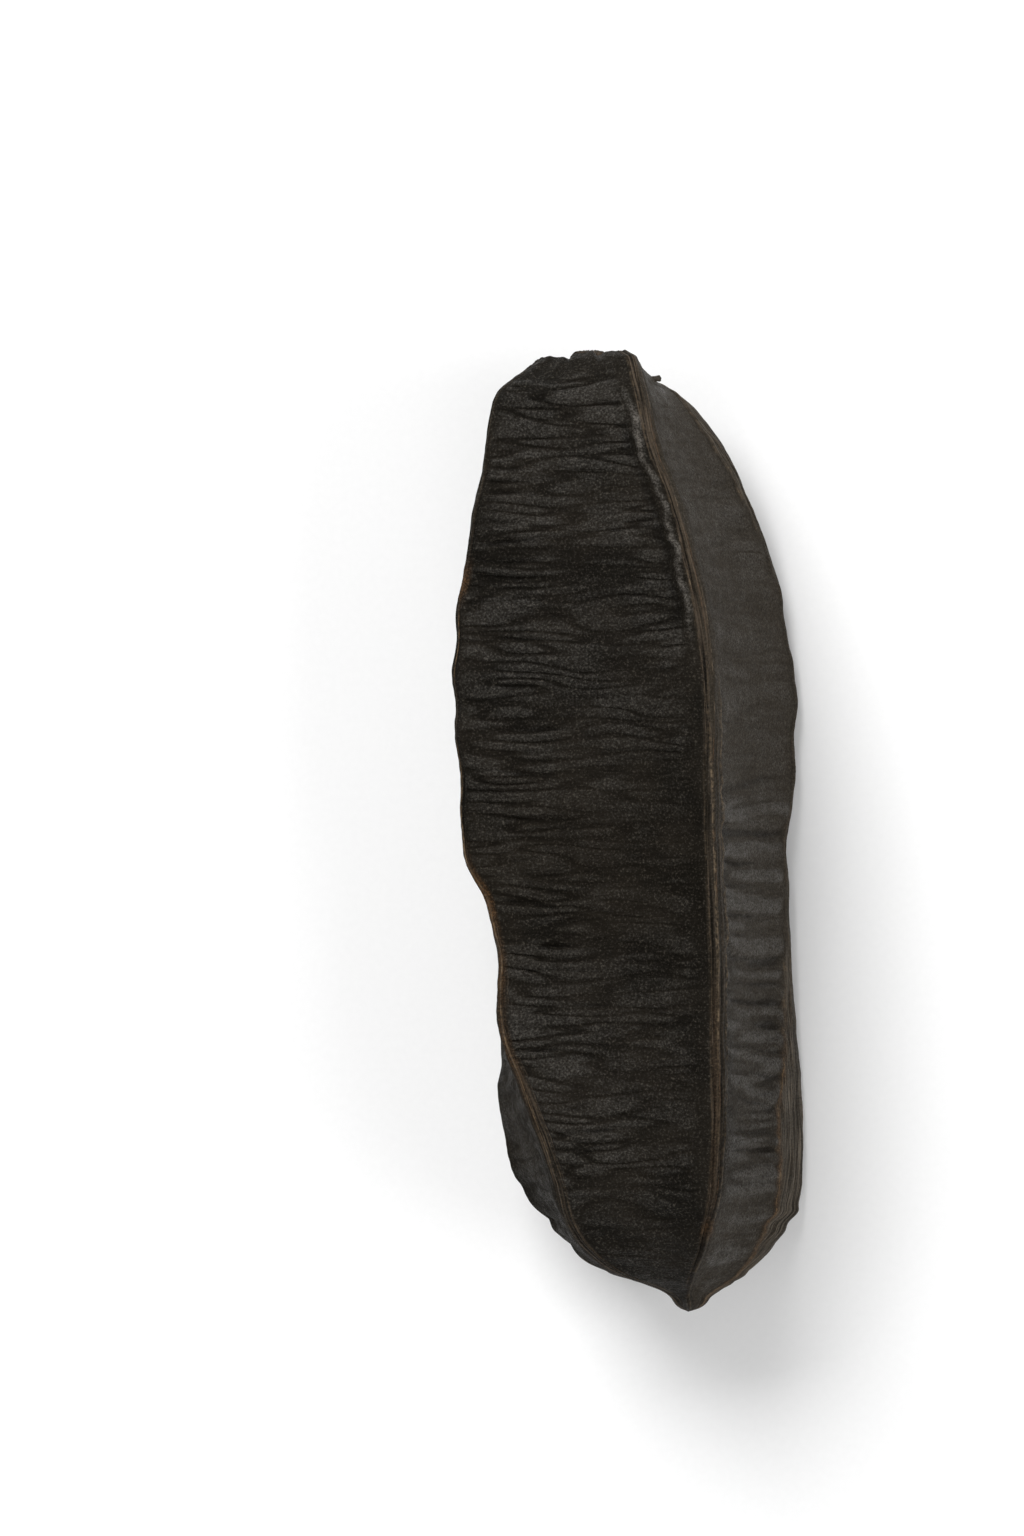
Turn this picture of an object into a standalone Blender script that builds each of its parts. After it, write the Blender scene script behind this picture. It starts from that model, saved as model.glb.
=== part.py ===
"""A dried aridan pod, lying on its two lower wings with its stem end towards +Y.

The pod grew as one piece, so it is one solid. Four wings run its whole length. Each wing has a
flat edge with a seam in it, and the webs between the wings are hollowed and crossed by the folds
of the shrunken skin. Metres, +Z up, with the origin under the middle of the pod.
"""

from math import cos, exp, hypot, pi, radians, sin

import bmesh
import bpy
from mathutils import Matrix, Vector, noise

for old in list(bpy.data.objects):
    bpy.data.objects.remove(old, do_unlink=True)

# Driving dimensions
POD_LENGTH = 0.160
WING_REACH = 0.030
SEAM_WIDTH = 0.0023

# How the pod lies: turned about its length and tipped a little, onto three low points
ROLL = radians(17.4)
PITCH = radians(-1.5)
FLAT_DEPTH = 0.00035

# Mesh density: rings along the pod, and the columns of one web as shares of its span
RING_COUNT = 106
COLUMN_SHARES = (0.0, 0.022, 0.05, 0.09, 0.17, 0.28, 0.42, 0.58, 0.72, 0.83, 0.91, 0.95, 0.978)
END_CAP_SHARES = (0.90, 0.74, 0.56, 0.40, 0.25, 0.12)

# The middle line: share of the length from the stem end, sideways shift as a share of the reach
MIDDLE_LINE = (
    (0.0, -0.23), (0.16, -0.12), (0.31, -0.055), (0.47, -0.01),
    (0.63, 0.06), (0.78, 0.11), (0.89, 0.18), (1.0, 0.34),
)

# Each wing's edge: share of the length, share of the reach, and its turn about the middle line in
# degrees, 0 facing the viewer and positive to the right
LEFT_WING = (
    (0.0, 0.36, -55), (0.012, 0.46, -55), (0.043, 0.68, -55), (0.12, 0.83, -57),
    (0.195, 0.915, -61), (0.25, 0.955, -68), (0.36, 0.993, -72), (0.51, 0.993, -72.5),
    (0.56, 0.93, -68), (0.62, 0.88, -65), (0.69, 0.93, -62), (0.79, 0.875, -50.5),
    (0.86, 0.805, -47), (0.92, 0.67, -53), (0.95, 0.50, -56), (0.975, 0.26, -58),
    (0.99, 0.095, -60), (1.0, 0.05, -60),
)
FRONT_WING = (
    (0.0, 0.44, 26), (0.006, 0.55, 25), (0.03, 0.62, 23), (0.10, 0.77, 20.5),
    (0.16, 0.86, 22), (0.23, 0.93, 26), (0.32, 0.975, 28), (0.46, 0.985, 26.5),
    (0.58, 0.965, 25), (0.70, 0.93, 24), (0.79, 0.88, 23.5), (0.87, 0.75, 22),
    (0.93, 0.53, 17), (0.965, 0.30, 10), (0.985, 0.13, 4), (1.0, 0.05, 4),
)
RIGHT_WING = (
    (0.0, 0.24, 104), (0.026, 0.41, 104), (0.05, 0.525, 105), (0.088, 0.655, 106),
    (0.134, 0.76, 107), (0.18, 0.86, 108), (0.255, 0.955, 109), (0.35, 1.005, 110),
    (0.46, 0.95, 110), (0.565, 0.89, 111), (0.68, 0.90, 114), (0.815, 0.92, 117),
    (0.87, 0.865, 117), (0.905, 0.78, 117), (0.93, 0.66, 117), (0.95, 0.50, 117),
    (0.965, 0.33, 117), (0.978, 0.17, 117), (0.988, 0.095, 117), (1.0, 0.05, 117),
)
BACK_WING = (
    (0.0, 0.26, 210), (0.02, 0.43, 210), (0.06, 0.60, 210), (0.13, 0.75, 210),
    (0.22, 0.875, 211), (0.36, 0.965, 213), (0.46, 0.985, 214), (0.56, 0.96, 219),
    (0.65, 0.93, 230), (0.73, 0.915, 241), (0.79, 0.91, 247), (0.85, 0.885, 248),
    (0.885, 0.82, 248), (0.915, 0.72, 248), (0.945, 0.57, 248), (0.96, 0.44, 248),
    (0.97, 0.28, 248), (0.979, 0.16, 248), (0.988, 0.095, 248), (1.0, 0.05, 248),
)
WINGS = (LEFT_WING, FRONT_WING, RIGHT_WING, BACK_WING)

# Per wing, in the same order: how much of its sharp corner the flat edge takes off, in seam widths,
# and how far its stem end stops short of the pod's
EDGE_TRIM = (0.6, 0.7, 1.1, 0.9)
SHOULDER_SETBACK = (-0.0004, -0.0012, 0.0024, 0.0002)
SHOULDER_RUN = 0.016

# The webs, each between one wing and the next: hollow, and the seed body that shows where it is wide
WEB_HOLLOW = (0.0022, 0.0018, 0.0022, 0.0016)
BODY_REACH_SHARE = 0.60
BLEND = 0.0020

# Waves along the wing edges, and the folds across the webs
EDGE_WAVE = 0.0004
EDGE_WAVE_LENGTH = 0.0075
FOLD_DEPTH = 0.00075
FOLD_PITCH = 0.0034
FOLD_RUN = 0.016
SEAM_GROOVE = 0.0004

# The broken stalk in the middle of the stem end, and the blunt point of the tip
STALK_RADIUS_SHARE = 0.42
STALK_HEIGHT = 0.0016
END_DISH = 0.0012
END_INSET = 0.0012
TIP_POINT = 0.0006
BODY_LENGTH = POD_LENGTH - END_INSET - TIP_POINT


def eased(points, at, column=1):
    """Smooth line through points, each (place, value, ...), without overshoot, read at one place."""
    if at <= points[0][0]:
        return points[0][column]
    if at >= points[-1][0]:
        return points[-1][column]
    i = next(k for k in range(len(points) - 1) if at <= points[k + 1][0])
    gap = points[i + 1][0] - points[i][0]

    def rise(k):
        return (points[k + 1][column] - points[k][column]) / (points[k + 1][0] - points[k][0])

    def slope(k):
        if k == 0:
            return rise(0)
        if k == len(points) - 1:
            return rise(k - 1)
        before, after = rise(k - 1), rise(k)
        return 0.0 if before * after <= 0 else 2 * before * after / (before + after)

    t = (at - points[i][0]) / gap
    low, high = points[i][column], points[i + 1][column]
    return (
        low * (1 + 2 * t) * (1 - t) ** 2
        + high * (3 - 2 * t) * t**2
        + gap * (slope(i) * t * (1 - t) ** 2 - slope(i + 1) * (1 - t) * t**2)
    )


def smooth_max(a, b, width):
    """The larger of two lengths, rounded over where they meet."""
    h = max(width - abs(a - b), 0.0) / width
    return max(a, b) + h * h * width / 4


def smooth_min(a, b, width):
    """The smaller of two lengths, rounded over where they meet."""
    return -smooth_max(-a, -b, width)


def wing_edges(share):
    """Reach and turn of the four wing edges at a share of the length, with their small waves."""
    edges = []
    for number, wing in enumerate(WINGS):
        reach = WING_REACH * eased(wing, share)
        along = share * POD_LENGTH / EDGE_WAVE_LENGTH
        wave = EDGE_WAVE * noise.noise(Vector((along, 7.3 * number, 1.7)))
        edges.append((reach + wave * reach / WING_REACH * 2, radians(eased(wing, share, 2))))
    return edges


def fold_height(share, web, f, arc):
    """Folds that run across a web. They fade towards the wing edges and the pod's two ends."""
    along = share * POD_LENGTH / FOLD_PITCH
    bend = 0.35 * noise.noise(Vector((arc / FOLD_RUN, share * 5, 9.1 + web)))
    fold = noise.noise(Vector((along + bend, arc / FOLD_RUN, 3.1 * web)))
    across = min(1.0, 7 * min(f, 1 - f))
    ends = min(1.0, 12 * min(share, 1 - share))
    return FOLD_DEPTH * fold * across * ends


def section_point(share, edges, web, f):
    """Distance and turn of one surface point, a share f of the way across a web."""
    (reach_a, turn_a), (reach_b, turn_b) = edges[web], edges[(web + 1) % 4]
    if web == 3:
        turn_b += 2 * pi
    span = turn_b - turn_a
    size = (reach_a + reach_b) / 2 / WING_REACH
    corner_a = reach_a + EDGE_TRIM[web] * SEAM_WIDTH * size
    corner_b = reach_b + EDGE_TRIM[(web + 1) % 4] * SEAM_WIDTH * size
    phi = f * span
    straight = corner_a * corner_b * sin(span) / (corner_a * sin(phi) + corner_b * sin(span - phi))
    hollow = WEB_HOLLOW[web] * size * (1 - (2 * f - 1) ** 4)
    body = BODY_REACH_SHARE * (reach_a + reach_b) / 2
    r = smooth_max(straight - hollow, body, BLEND * size)
    edge_reach, offset = (reach_a, phi) if f < 0.5 else (reach_b, span - phi)
    offset *= edge_reach
    groove = SEAM_GROOVE * size * exp(-((offset / (SEAM_WIDTH / 3)) ** 2))
    r = smooth_min(r, edge_reach + groove * 0.5, SEAM_WIDTH * size * 0.5) - groove
    r += fold_height(share, web, f, (turn_a + phi) * WING_REACH) * size
    return r, turn_a + phi


def shoulder_setback(share, web, f):
    """How far the stem end is set back there: each wing's shoulder has its own height."""
    blend = f * f * (3 - 2 * f)
    setback = SHOULDER_SETBACK[web] * (1 - blend) + SHOULDER_SETBACK[(web + 1) % 4] * blend
    fade = max(0.0, 1 - share * POD_LENGTH / SHOULDER_RUN)
    return setback * fade * fade


def ring(share, scale=1.0, lift=0.0):
    """The vertices of one ring. The ring can be shrunk towards the middle line to close an end."""
    edges = wing_edges(share)
    shift = WING_REACH * eased(MIDDLE_LINE, share)
    points = []
    for web in range(4):
        for f in COLUMN_SHARES:
            r, turn = section_point(share, edges, web, f)
            down = END_INSET + share * BODY_LENGTH + shoulder_setback(share, web, f) * scale - lift
            points.append(Vector((
                shift + scale * r * sin(turn),
                POD_LENGTH / 2 - down,
                scale * r * cos(turn),
            )))
    return points


def ring_shares(count):
    """Shares of the length for the rings, evenly spaced along the pod's outline."""
    steps = 2000
    reach = [WING_REACH * sum(eased(w, k / steps) for w in WINGS) / 4 for k in range(steps + 1)]
    run = [0.0]
    for k in range(steps):
        run.append(run[-1] + hypot(POD_LENGTH / steps, reach[k + 1] - reach[k]))
    shares, k = [], 0
    for i in range(count):
        target = run[-1] * i / (count - 1)
        while k < steps - 1 and run[k + 1] < target:
            k += 1
        shares.append((k + (target - run[k]) / (run[k + 1] - run[k])) / steps)
    return shares


def stem_cap():
    """Shrinking rings that close the stem end: a shallow dish with the broken stalk in its middle."""
    rings = []
    for scale in END_CAP_SHARES:
        stalk = max(0.0, 1 - (scale / STALK_RADIUS_SHARE) ** 4)
        dish = END_DISH * (1 - scale) * (1 if scale > STALK_RADIUS_SHARE else 0.4)
        rings.append(ring(0.0, scale, STALK_HEIGHT * stalk - dish))
    return rings


def add_loop(bm, points):
    return [bm.verts.new(p) for p in points]


def skin(bm, upper, lower):
    """Quads between two rings of the same count."""
    count = len(upper)
    for i in range(count):
        j = (i + 1) % count
        bm.faces.new((upper[i], upper[j], lower[j], lower[i]))


def close_end(bm, loop, centre, outward):
    """A fan of triangles from one point to a ring."""
    hub = bm.verts.new(centre)
    count = len(loop)
    for i in range(count):
        j = (i + 1) % count
        corners = (hub, loop[j], loop[i]) if outward else (hub, loop[i], loop[j])
        bm.faces.new(corners)


def build_pod_mesh():
    """The pod's skin, from the stalk to the tip, in the viewer's frame."""
    bm = bmesh.new()
    rings = list(reversed(stem_cap())) + [ring(s) for s in ring_shares(RING_COUNT)]
    loops = [add_loop(bm, points) for points in rings]
    for upper, lower in zip(loops, loops[1:]):
        skin(bm, upper, lower)
    stalk_top = sum(rings[0], Vector()) / len(rings[0])
    close_end(bm, loops[0], stalk_top, True)
    tip = sum(rings[-1], Vector()) / len(rings[-1])
    close_end(bm, loops[-1], tip - Vector((0, TIP_POINT, 0)), False)
    bmesh.ops.recalc_face_normals(bm, faces=bm.faces)
    mesh = bpy.data.meshes.new("pod")
    bm.to_mesh(mesh)
    bm.free()
    return mesh


def lay_down(mesh):
    """Turns the pod as it lies, sets it a little into the surface and rubs the low spots flat."""
    mesh.transform(Matrix.Rotation(PITCH, 4, "X") @ Matrix.Rotation(ROLL, 4, "Y"))
    low = Vector(min(v.co[k] for v in mesh.vertices) for k in range(3))
    high = Vector(max(v.co[k] for v in mesh.vertices) for k in range(3))
    middle = (low + high) / 2
    mesh.transform(Matrix.Translation((-middle.x, -middle.y, -low.z - FLAT_DEPTH)))
    for v in mesh.vertices:
        v.co.z = max(v.co.z, 0.0)


def pod_material():
    material = bpy.data.materials.new("pod_skin")
    material.use_nodes = True
    shader = material.node_tree.nodes["Principled BSDF"]
    shader.inputs["Base Color"].default_value = (0.024, 0.019, 0.015, 1)
    shader.inputs["Roughness"].default_value = 0.5
    shader.inputs["Metallic"].default_value = 0.0
    return material


def build_pod():
    mesh = build_pod_mesh()
    lay_down(mesh)
    mesh.shade_smooth()
    mesh.set_sharp_from_angle(angle=radians(60))
    mesh.materials.append(pod_material())
    pod = bpy.data.objects.new("pod", mesh)
    bpy.context.scene.collection.objects.link(pod)
    return pod


build_pod()
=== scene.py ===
"""A dried aridan pod as it looks: nearly black, shrunken skin over four woody wings."""

from math import cos, pi, radians, sin

import bpy
import numpy as np
from mathutils import Matrix, Vector, noise


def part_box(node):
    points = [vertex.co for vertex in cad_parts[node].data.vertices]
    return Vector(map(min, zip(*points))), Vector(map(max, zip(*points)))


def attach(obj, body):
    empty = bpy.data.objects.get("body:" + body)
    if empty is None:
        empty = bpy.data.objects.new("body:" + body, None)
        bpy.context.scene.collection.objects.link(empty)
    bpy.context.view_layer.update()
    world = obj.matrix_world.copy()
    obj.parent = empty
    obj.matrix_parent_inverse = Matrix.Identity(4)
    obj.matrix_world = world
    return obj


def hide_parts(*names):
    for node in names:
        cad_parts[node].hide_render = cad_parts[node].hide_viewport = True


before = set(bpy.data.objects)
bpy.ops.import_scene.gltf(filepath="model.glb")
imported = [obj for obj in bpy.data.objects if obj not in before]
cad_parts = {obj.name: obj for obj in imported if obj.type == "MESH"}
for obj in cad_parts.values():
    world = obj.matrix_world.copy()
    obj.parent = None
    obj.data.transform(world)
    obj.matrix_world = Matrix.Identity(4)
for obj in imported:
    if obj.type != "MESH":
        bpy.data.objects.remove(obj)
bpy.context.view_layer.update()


# The pod. It grew as one piece and dried hard. A thin, leathery, nearly black skin has shrunk over
# the pulp in fine folds that run across the webs between four wings. Along the edge of each wing
# the woody rib shows through as brown lengthwise fibres.
POD_LENGTH = 0.160
WING_REACH = 0.030
SEAM_WIDTH = 0.0023
ROLL = radians(17.4)
PITCH = radians(-1.5)
FLAT_DEPTH = 0.00035

# The middle line: share of the length from the stem end, sideways shift as a share of the reach
MIDDLE_LINE = (
    (0.0, -0.23), (0.16, -0.12), (0.31, -0.055), (0.47, -0.01),
    (0.63, 0.06), (0.78, 0.11), (0.89, 0.18), (1.0, 0.315),
)

# Each wing's edge: share of the length, share of the reach, and its turn about the middle line in
# degrees, 0 facing the viewer and positive to the right
LEFT_WING = (
    (0.0, 0.36, -55), (0.012, 0.46, -55), (0.043, 0.68, -55), (0.12, 0.83, -57),
    (0.195, 0.915, -61), (0.25, 0.955, -68), (0.36, 0.993, -72), (0.51, 0.993, -72.5),
    (0.56, 0.93, -68), (0.62, 0.88, -65), (0.69, 0.93, -62), (0.79, 0.875, -50.5),
    (0.86, 0.805, -47), (0.92, 0.67, -53), (0.95, 0.50, -56), (0.965, 0.345, -57),
    (0.975, 0.19, -58), (0.982, 0.115, -60), (0.99, 0.075, -60), (1.0, 0.06, -60),
)
FRONT_WING = (
    (0.0, 0.44, 26), (0.006, 0.55, 25), (0.03, 0.62, 23), (0.10, 0.77, 21.3),
    (0.16, 0.86, 24.4), (0.23, 0.93, 26.2), (0.32, 0.975, 28), (0.46, 0.985, 26.5),
    (0.58, 0.965, 25), (0.70, 0.93, 24), (0.79, 0.88, 23.5), (0.87, 0.75, 22),
    (0.93, 0.53, 17), (0.965, 0.30, 10), (0.985, 0.14, 4), (1.0, 0.09, 4),
)
RIGHT_WING = (
    (0.0, 0.24, 104), (0.026, 0.445, 104), (0.05, 0.565, 105), (0.088, 0.69, 106),
    (0.134, 0.785, 107), (0.18, 0.87, 108), (0.255, 0.955, 109), (0.35, 1.005, 110),
    (0.46, 0.95, 110), (0.565, 0.89, 111), (0.68, 0.90, 114), (0.815, 0.92, 117),
    (0.87, 0.865, 117), (0.905, 0.78, 117), (0.93, 0.66, 117), (0.95, 0.52, 117),
    (0.965, 0.40, 117), (0.978, 0.25, 117), (0.988, 0.15, 117), (1.0, 0.10, 117),
)
BACK_WING = (
    (0.0, 0.26, 210), (0.02, 0.43, 210), (0.06, 0.60, 210), (0.13, 0.75, 210),
    (0.22, 0.875, 211), (0.36, 0.965, 213), (0.46, 0.985, 214), (0.56, 0.96, 219),
    (0.65, 0.93, 230), (0.73, 0.915, 241), (0.79, 0.91, 247), (0.85, 0.87, 248),
    (0.87, 0.825, 248), (0.885, 0.78, 248), (0.915, 0.67, 248), (0.93, 0.62, 248),
    (0.945, 0.56, 248), (0.96, 0.44, 248),
    (0.97, 0.26, 248), (0.977, 0.165, 248), (0.983, 0.105, 248), (0.99, 0.08, 248), (1.0, 0.07, 248),
)
WINGS = (LEFT_WING, FRONT_WING, RIGHT_WING, BACK_WING)
LEFT, FRONT, RIGHT, BACK = range(4)

# Per wing: what its flat edge takes off the sharp corner, in seam widths, and how far its shoulder
# stops short of the stem end. Per web, each from its wing to the next: the hollow.
EDGE_TRIM = np.array((0.6, 0.7, 1.1, 0.9))
SHOULDER_SETBACK = np.array((-0.0004, -0.0012, 0.0018, 0.0002))
SHOULDER_RUN = 0.016
WEB_HOLLOW = np.array((0.0022, 0.0018, 0.0022, 0.0016))
BODY_REACH_SHARE = 0.60
BLEND = 0.0020
EDGE_WAVE = 0.0004
EDGE_WAVE_LENGTH = 0.0075
BROAD_FOLD_DEPTH = 0.00055
BROAD_FOLD_PITCH = 0.0034
BROAD_FOLD_RUN = 0.016
SEAM_GROOVE = 0.0003

# The stem end and the tip
STALK_RADIUS_SHARE = 0.42
STALK_HEIGHT = 0.0016
END_DISH = 0.0012
END_INSET = 0.0012
TIP_POINT = 0.0002
BODY_LENGTH = 0.1592
TIP_ROUND_START, TIP_ROUND_END = 0.990, 1.0004
LEAST_REACH = 0.0012
RIM_WEAR_RUN = 0.006

# The skin's grid: rows along the pod, and columns across each web, which crowd at the wing edges
ROW_COUNT = 530
CAP_ROW_COUNT = 34
WEB_COLUMNS = (58, 50, 34, 34)
EDGE_CROWDING = 0.76


def eased(points, at, column=1):
    """A smooth line through points, each (place, value, ...), without overshoot, read at an array."""
    places = np.array([p[0] for p in points])
    values = np.array([p[column] for p in points], float)
    rises = np.diff(values) / np.diff(places)
    product, total = rises[:-1] * rises[1:], rises[:-1] + rises[1:]
    slopes = np.concatenate([
        rises[:1], np.where(product > 0, 2 * product / np.where(product > 0, total, 1), 0), rises[-1:],
    ])
    start = np.clip(np.searchsorted(places, at, side="right") - 1, 0, len(rises) - 1)
    end = start + 1
    gap = places[end] - places[start]
    gone = np.clip((at - places[start]) / gap, 0, 1)
    return (
        values[start] * (1 + 2 * gone) * (1 - gone) ** 2
        + values[end] * (3 - 2 * gone) * gone**2
        + gap * (slopes[start] * gone * (1 - gone) ** 2 - slopes[end] * (1 - gone) * gone**2)
    )


def grain(x, y, z=0.0):
    """Smooth noise, mostly between -0.5 and 0.5, at arrays of places."""
    x, y, z = np.broadcast_arrays(x, y, z)
    places = zip(x.ravel().tolist(), y.ravel().tolist(), z.ravel().tolist())
    return np.array([noise.noise(place) for place in places]).reshape(x.shape)


def ramp(value, low, high):
    """0 below low, 1 above high, and a soft step between them. Low may be the higher one."""
    gone = np.clip((value - low) / (high - low), 0, 1)
    return gone * gone * (3 - 2 * gone)


def bell(value, centre, half_width):
    """1 at the centre, falling softly to nearly 0 at twice the half width."""
    return np.exp(-(((value - centre) / half_width) ** 2))


def smooth_max(a, b, width):
    """The larger of two, with a rounded change over where they differ by less than width."""
    closeness = np.maximum(width - np.abs(a - b), 0) / width
    return np.maximum(a, b) + closeness * closeness * width / 4


def row_shares(count):
    """Shares of the length for the rows, evenly spaced along the pod's outline."""
    fine = np.linspace(0, 1, 2001)
    reach = WING_REACH * sum(eased(wing, fine) for wing in WINGS) / 4
    run = np.concatenate([[0], np.cumsum(np.hypot(POD_LENGTH / 2000, np.diff(reach)))])
    return np.interp(np.linspace(0, run[-1], count), run, fine)


# Rows: first the cap's, which open from the stalk's middle to the rim, and then the body's
cap_scale = np.linspace(0.03, 0.985, CAP_ROW_COUNT)
stalk_rise = STALK_HEIGHT * np.maximum(0, 1 - (cap_scale / STALK_RADIUS_SHARE) ** 4)
dish_share = 0.4 + 0.6 * ramp(cap_scale, STALK_RADIUS_SHARE - 0.06, STALK_RADIUS_SHARE + 0.02)
cap_lift = stalk_rise - END_DISH * (1 - cap_scale) * dish_share
share = np.concatenate([np.zeros(CAP_ROW_COUNT), row_shares(ROW_COUNT)])[:, None]
scale = np.concatenate([cap_scale, np.ones(ROW_COUNT)])[:, None]
lift = np.concatenate([cap_lift, np.zeros(ROW_COUNT)])[:, None]

# Columns: the web that each is in, and its share of the way across
even_steps = [np.arange(count) / count for count in WEB_COLUMNS]
crowded = [even - EDGE_CROWDING / (2 * pi) * np.sin(2 * pi * even) for even in even_steps]
way = np.concatenate(crowded)[None, :]
web = np.repeat(np.arange(4), WEB_COLUMNS)
next_web = (web + 1) % 4

# The wing edges along the pod, with the waves of their shrunken rims
reach_rows, turn_rows = [], []
for number, wing in enumerate(WINGS):
    wave = EDGE_WAVE * grain(share * POD_LENGTH / EDGE_WAVE_LENGTH, 7.3 * number, 1.7)
    reach = WING_REACH * eased(wing, share)
    reach_rows.append(reach + wave * reach / WING_REACH * 2)
    turn_rows.append(np.radians(eased(wing, share, 2)))
reach_rows, turn_rows = np.hstack(reach_rows), np.hstack(turn_rows)

# Scallops where the back wing's rim turns to the tip, and shallower ones on the right wing's rim,
# with their pitch in rows of the grid. The right rim has one small step there too
SCALLOP_ROWS, SCALLOP_DEPTH = 14.5, 0.0008
RIM_STEP, RIM_STEP_RUN = 0.0005, 0.006
RIM_STEP_OUT, RIM_STEP_IN = 0.898, 0.911
body_row = np.arange(len(share)) - CAP_ROW_COUNT
scallops = np.abs(np.sin(pi * (body_row / SCALLOP_ROWS + 1.6 * grain(body_row / 38, 40.5, 0.3))))
scallops = (scallops - 0.6) * ramp(share[:, 0], 0.985, 0.968)
reach_rows[:, BACK] += SCALLOP_DEPTH * scallops * ramp(share[:, 0], 0.855, 0.885)
reach_rows[:, RIGHT] += 0.5 * SCALLOP_DEPTH * scallops * ramp(share[:, 0], 0.90, 0.93)
rim_step = bell(share, RIM_STEP_OUT, RIM_STEP_RUN) - bell(share, RIM_STEP_IN, RIM_STEP_RUN)
reach_rows[:, RIGHT] += RIM_STEP * rim_step[:, 0]

# The very tip is rounded off
tip_round = np.clip((share - TIP_ROUND_START) / (TIP_ROUND_END - TIP_ROUND_START), 0, 1)
reach_rows = np.maximum(reach_rows, LEAST_REACH) * np.sqrt(1 - tip_round**2)

# The plain section: straight webs between the wing edges, hollowed, with the seed body and the
# flat seamed edges blended in
reach_a, reach_b = reach_rows[:, web], reach_rows[:, next_web]
turn_a = turn_rows[:, web]
span = turn_rows[:, next_web] + np.where(web == 3, 2 * pi, 0) - turn_a
size = (reach_a + reach_b) / 2 / WING_REACH
corner_a = reach_a + EDGE_TRIM[web] * SEAM_WIDTH * size
corner_b = reach_b + EDGE_TRIM[next_web] * SEAM_WIDTH * size
swing = way * span
straight = corner_a * corner_b * np.sin(span) / (corner_a * np.sin(swing) + corner_b * np.sin(span - swing))
hollow = WEB_HOLLOW[web] * size * (1 - (2 * way - 1) ** 4)
body = BODY_REACH_SHARE * (reach_a + reach_b) / 2
radius = smooth_max(straight - hollow, body, BLEND * size)
edge_reach = np.where(way < 0.5, reach_a, reach_b)
from_edge = np.where(way < 0.5, swing, span - swing) * edge_reach
groove = SEAM_GROOVE * size * np.exp(-((from_edge / (SEAM_WIDTH / 3)) ** 2))
radius = -smooth_max(-radius, -(edge_reach + groove * 0.5), SEAM_WIDTH * size * 0.5) - groove
turn = turn_a + swing
arc = turn * WING_REACH / BROAD_FOLD_RUN
bend = 0.35 * grain(arc, share * 5, 9.1 + web)
broad_fold = grain(share * POD_LENGTH / BROAD_FOLD_PITCH + bend, arc, 3.1 * web)
fold_room = np.minimum(1, 7 * np.minimum(way, 1 - way)) * np.minimum(1, 12 * np.minimum(share, 1 - share))
radius = radius + BROAD_FOLD_DEPTH * broad_fold * fold_room * size

# The shoulders' own heights, and every point's place in the viewer's frame
blend = way * way * (3 - 2 * way)
setback = SHOULDER_SETBACK[web] * (1 - blend) + SHOULDER_SETBACK[next_web] * blend
setback = setback * np.maximum(0, 1 - share * POD_LENGTH / SHOULDER_RUN) ** 2
down = END_INSET + share * BODY_LENGTH + setback * scale - lift
place = np.stack([
    WING_REACH * eased(MIDDLE_LINE, share) + scale * radius * np.sin(turn),
    POD_LENGTH / 2 - down,
    scale * radius * np.cos(turn),
], axis=2)


def skin_normals(place):
    """Outward normals of the grid. Columns wrap round, and rows end at the stalk and the tip."""
    along = np.gradient(place, axis=0)
    across = (np.roll(place, -1, axis=1) - np.roll(place, 1, axis=1)) / 2
    normal = np.cross(along, across)
    return normal / np.maximum(np.linalg.norm(normal, axis=2, keepdims=True), 1e-12)


# Real distances on the skin in millimetres: from each web's first wing edge, to its next one, down
# the pod, and past the nearest wing edge, positive on that edge's right
MM = 1000
step = np.linalg.norm(np.roll(place, -1, axis=1) - place, axis=2) * MM
run = np.zeros_like(step)
to_go = np.zeros_like(step)
for number in range(4):
    mine = web == number
    total = np.cumsum(step[:, mine], axis=1)
    run[:, mine] = total - step[:, mine]
    to_go[:, mine] = total[:, -1:] - run[:, mine]
down_mm = down * MM
offset = np.where(run < to_go, run, -to_go)
nearest = np.where(run < to_go, web, next_web)

# Lines beside the wings' edges, in millimetres from the edge along the pod: how wide the front
# wing's fibrous band is to each side, the rolled lip on its left, the seam on its right, and where
# the right wing's thick fibrous rim begins
FRONT_BAND = (
    (0.0, 1.4), (0.045, 1.3), (0.10, 1.0), (0.14, 0.75), (0.16, 0.7), (0.20, 0.95),
    (0.30, 1.15), (0.86, 1.15), (0.93, 0.35), (1.0, 0.25),
)
LIP_LINE = (
    (0.0, 2.9), (0.045, 2.8), (0.071, 1.9), (0.10, 2.5), (0.12, 2.1), (0.14, 1.8),
    (0.156, 1.5), (0.186, 2.3), (0.208, 1.8), (0.24, 1.9), (0.30, 2.2), (1.0, 2.2),
)
FRONT_SEAM = (
    (0.0, 1.6), (0.15, 2.2), (0.35, 3.6), (0.55, 4.9), (0.64, 4.1), (0.74, 3.7),
    (0.79, 2.4), (0.84, 1.7), (0.88, 1.6), (0.93, 0.6), (1.0, 0.3),
)
RIGHT_RIM = (
    (0.0, 1.2), (0.02, 1.8), (0.04, 3.6), (0.08, 4.9), (0.14, 4.0), (0.30, 2.4), (0.55, 3.2),
    (0.69, 6.3), (0.74, 8.4), (0.81, 11.4), (0.86, 9.8), (0.91, 8.4), (0.956, 3.8), (1.0, 0.5),
)
front_band = eased(FRONT_BAND, share)
lip_line = -eased(LIP_LINE, share)
front_seam = eased(FRONT_SEAM, share)
main_line = 0.45 * ramp(share, 0.30, 0.45) - 0.85 * front_band * ramp(share, 0.45, 0.30)
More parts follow.
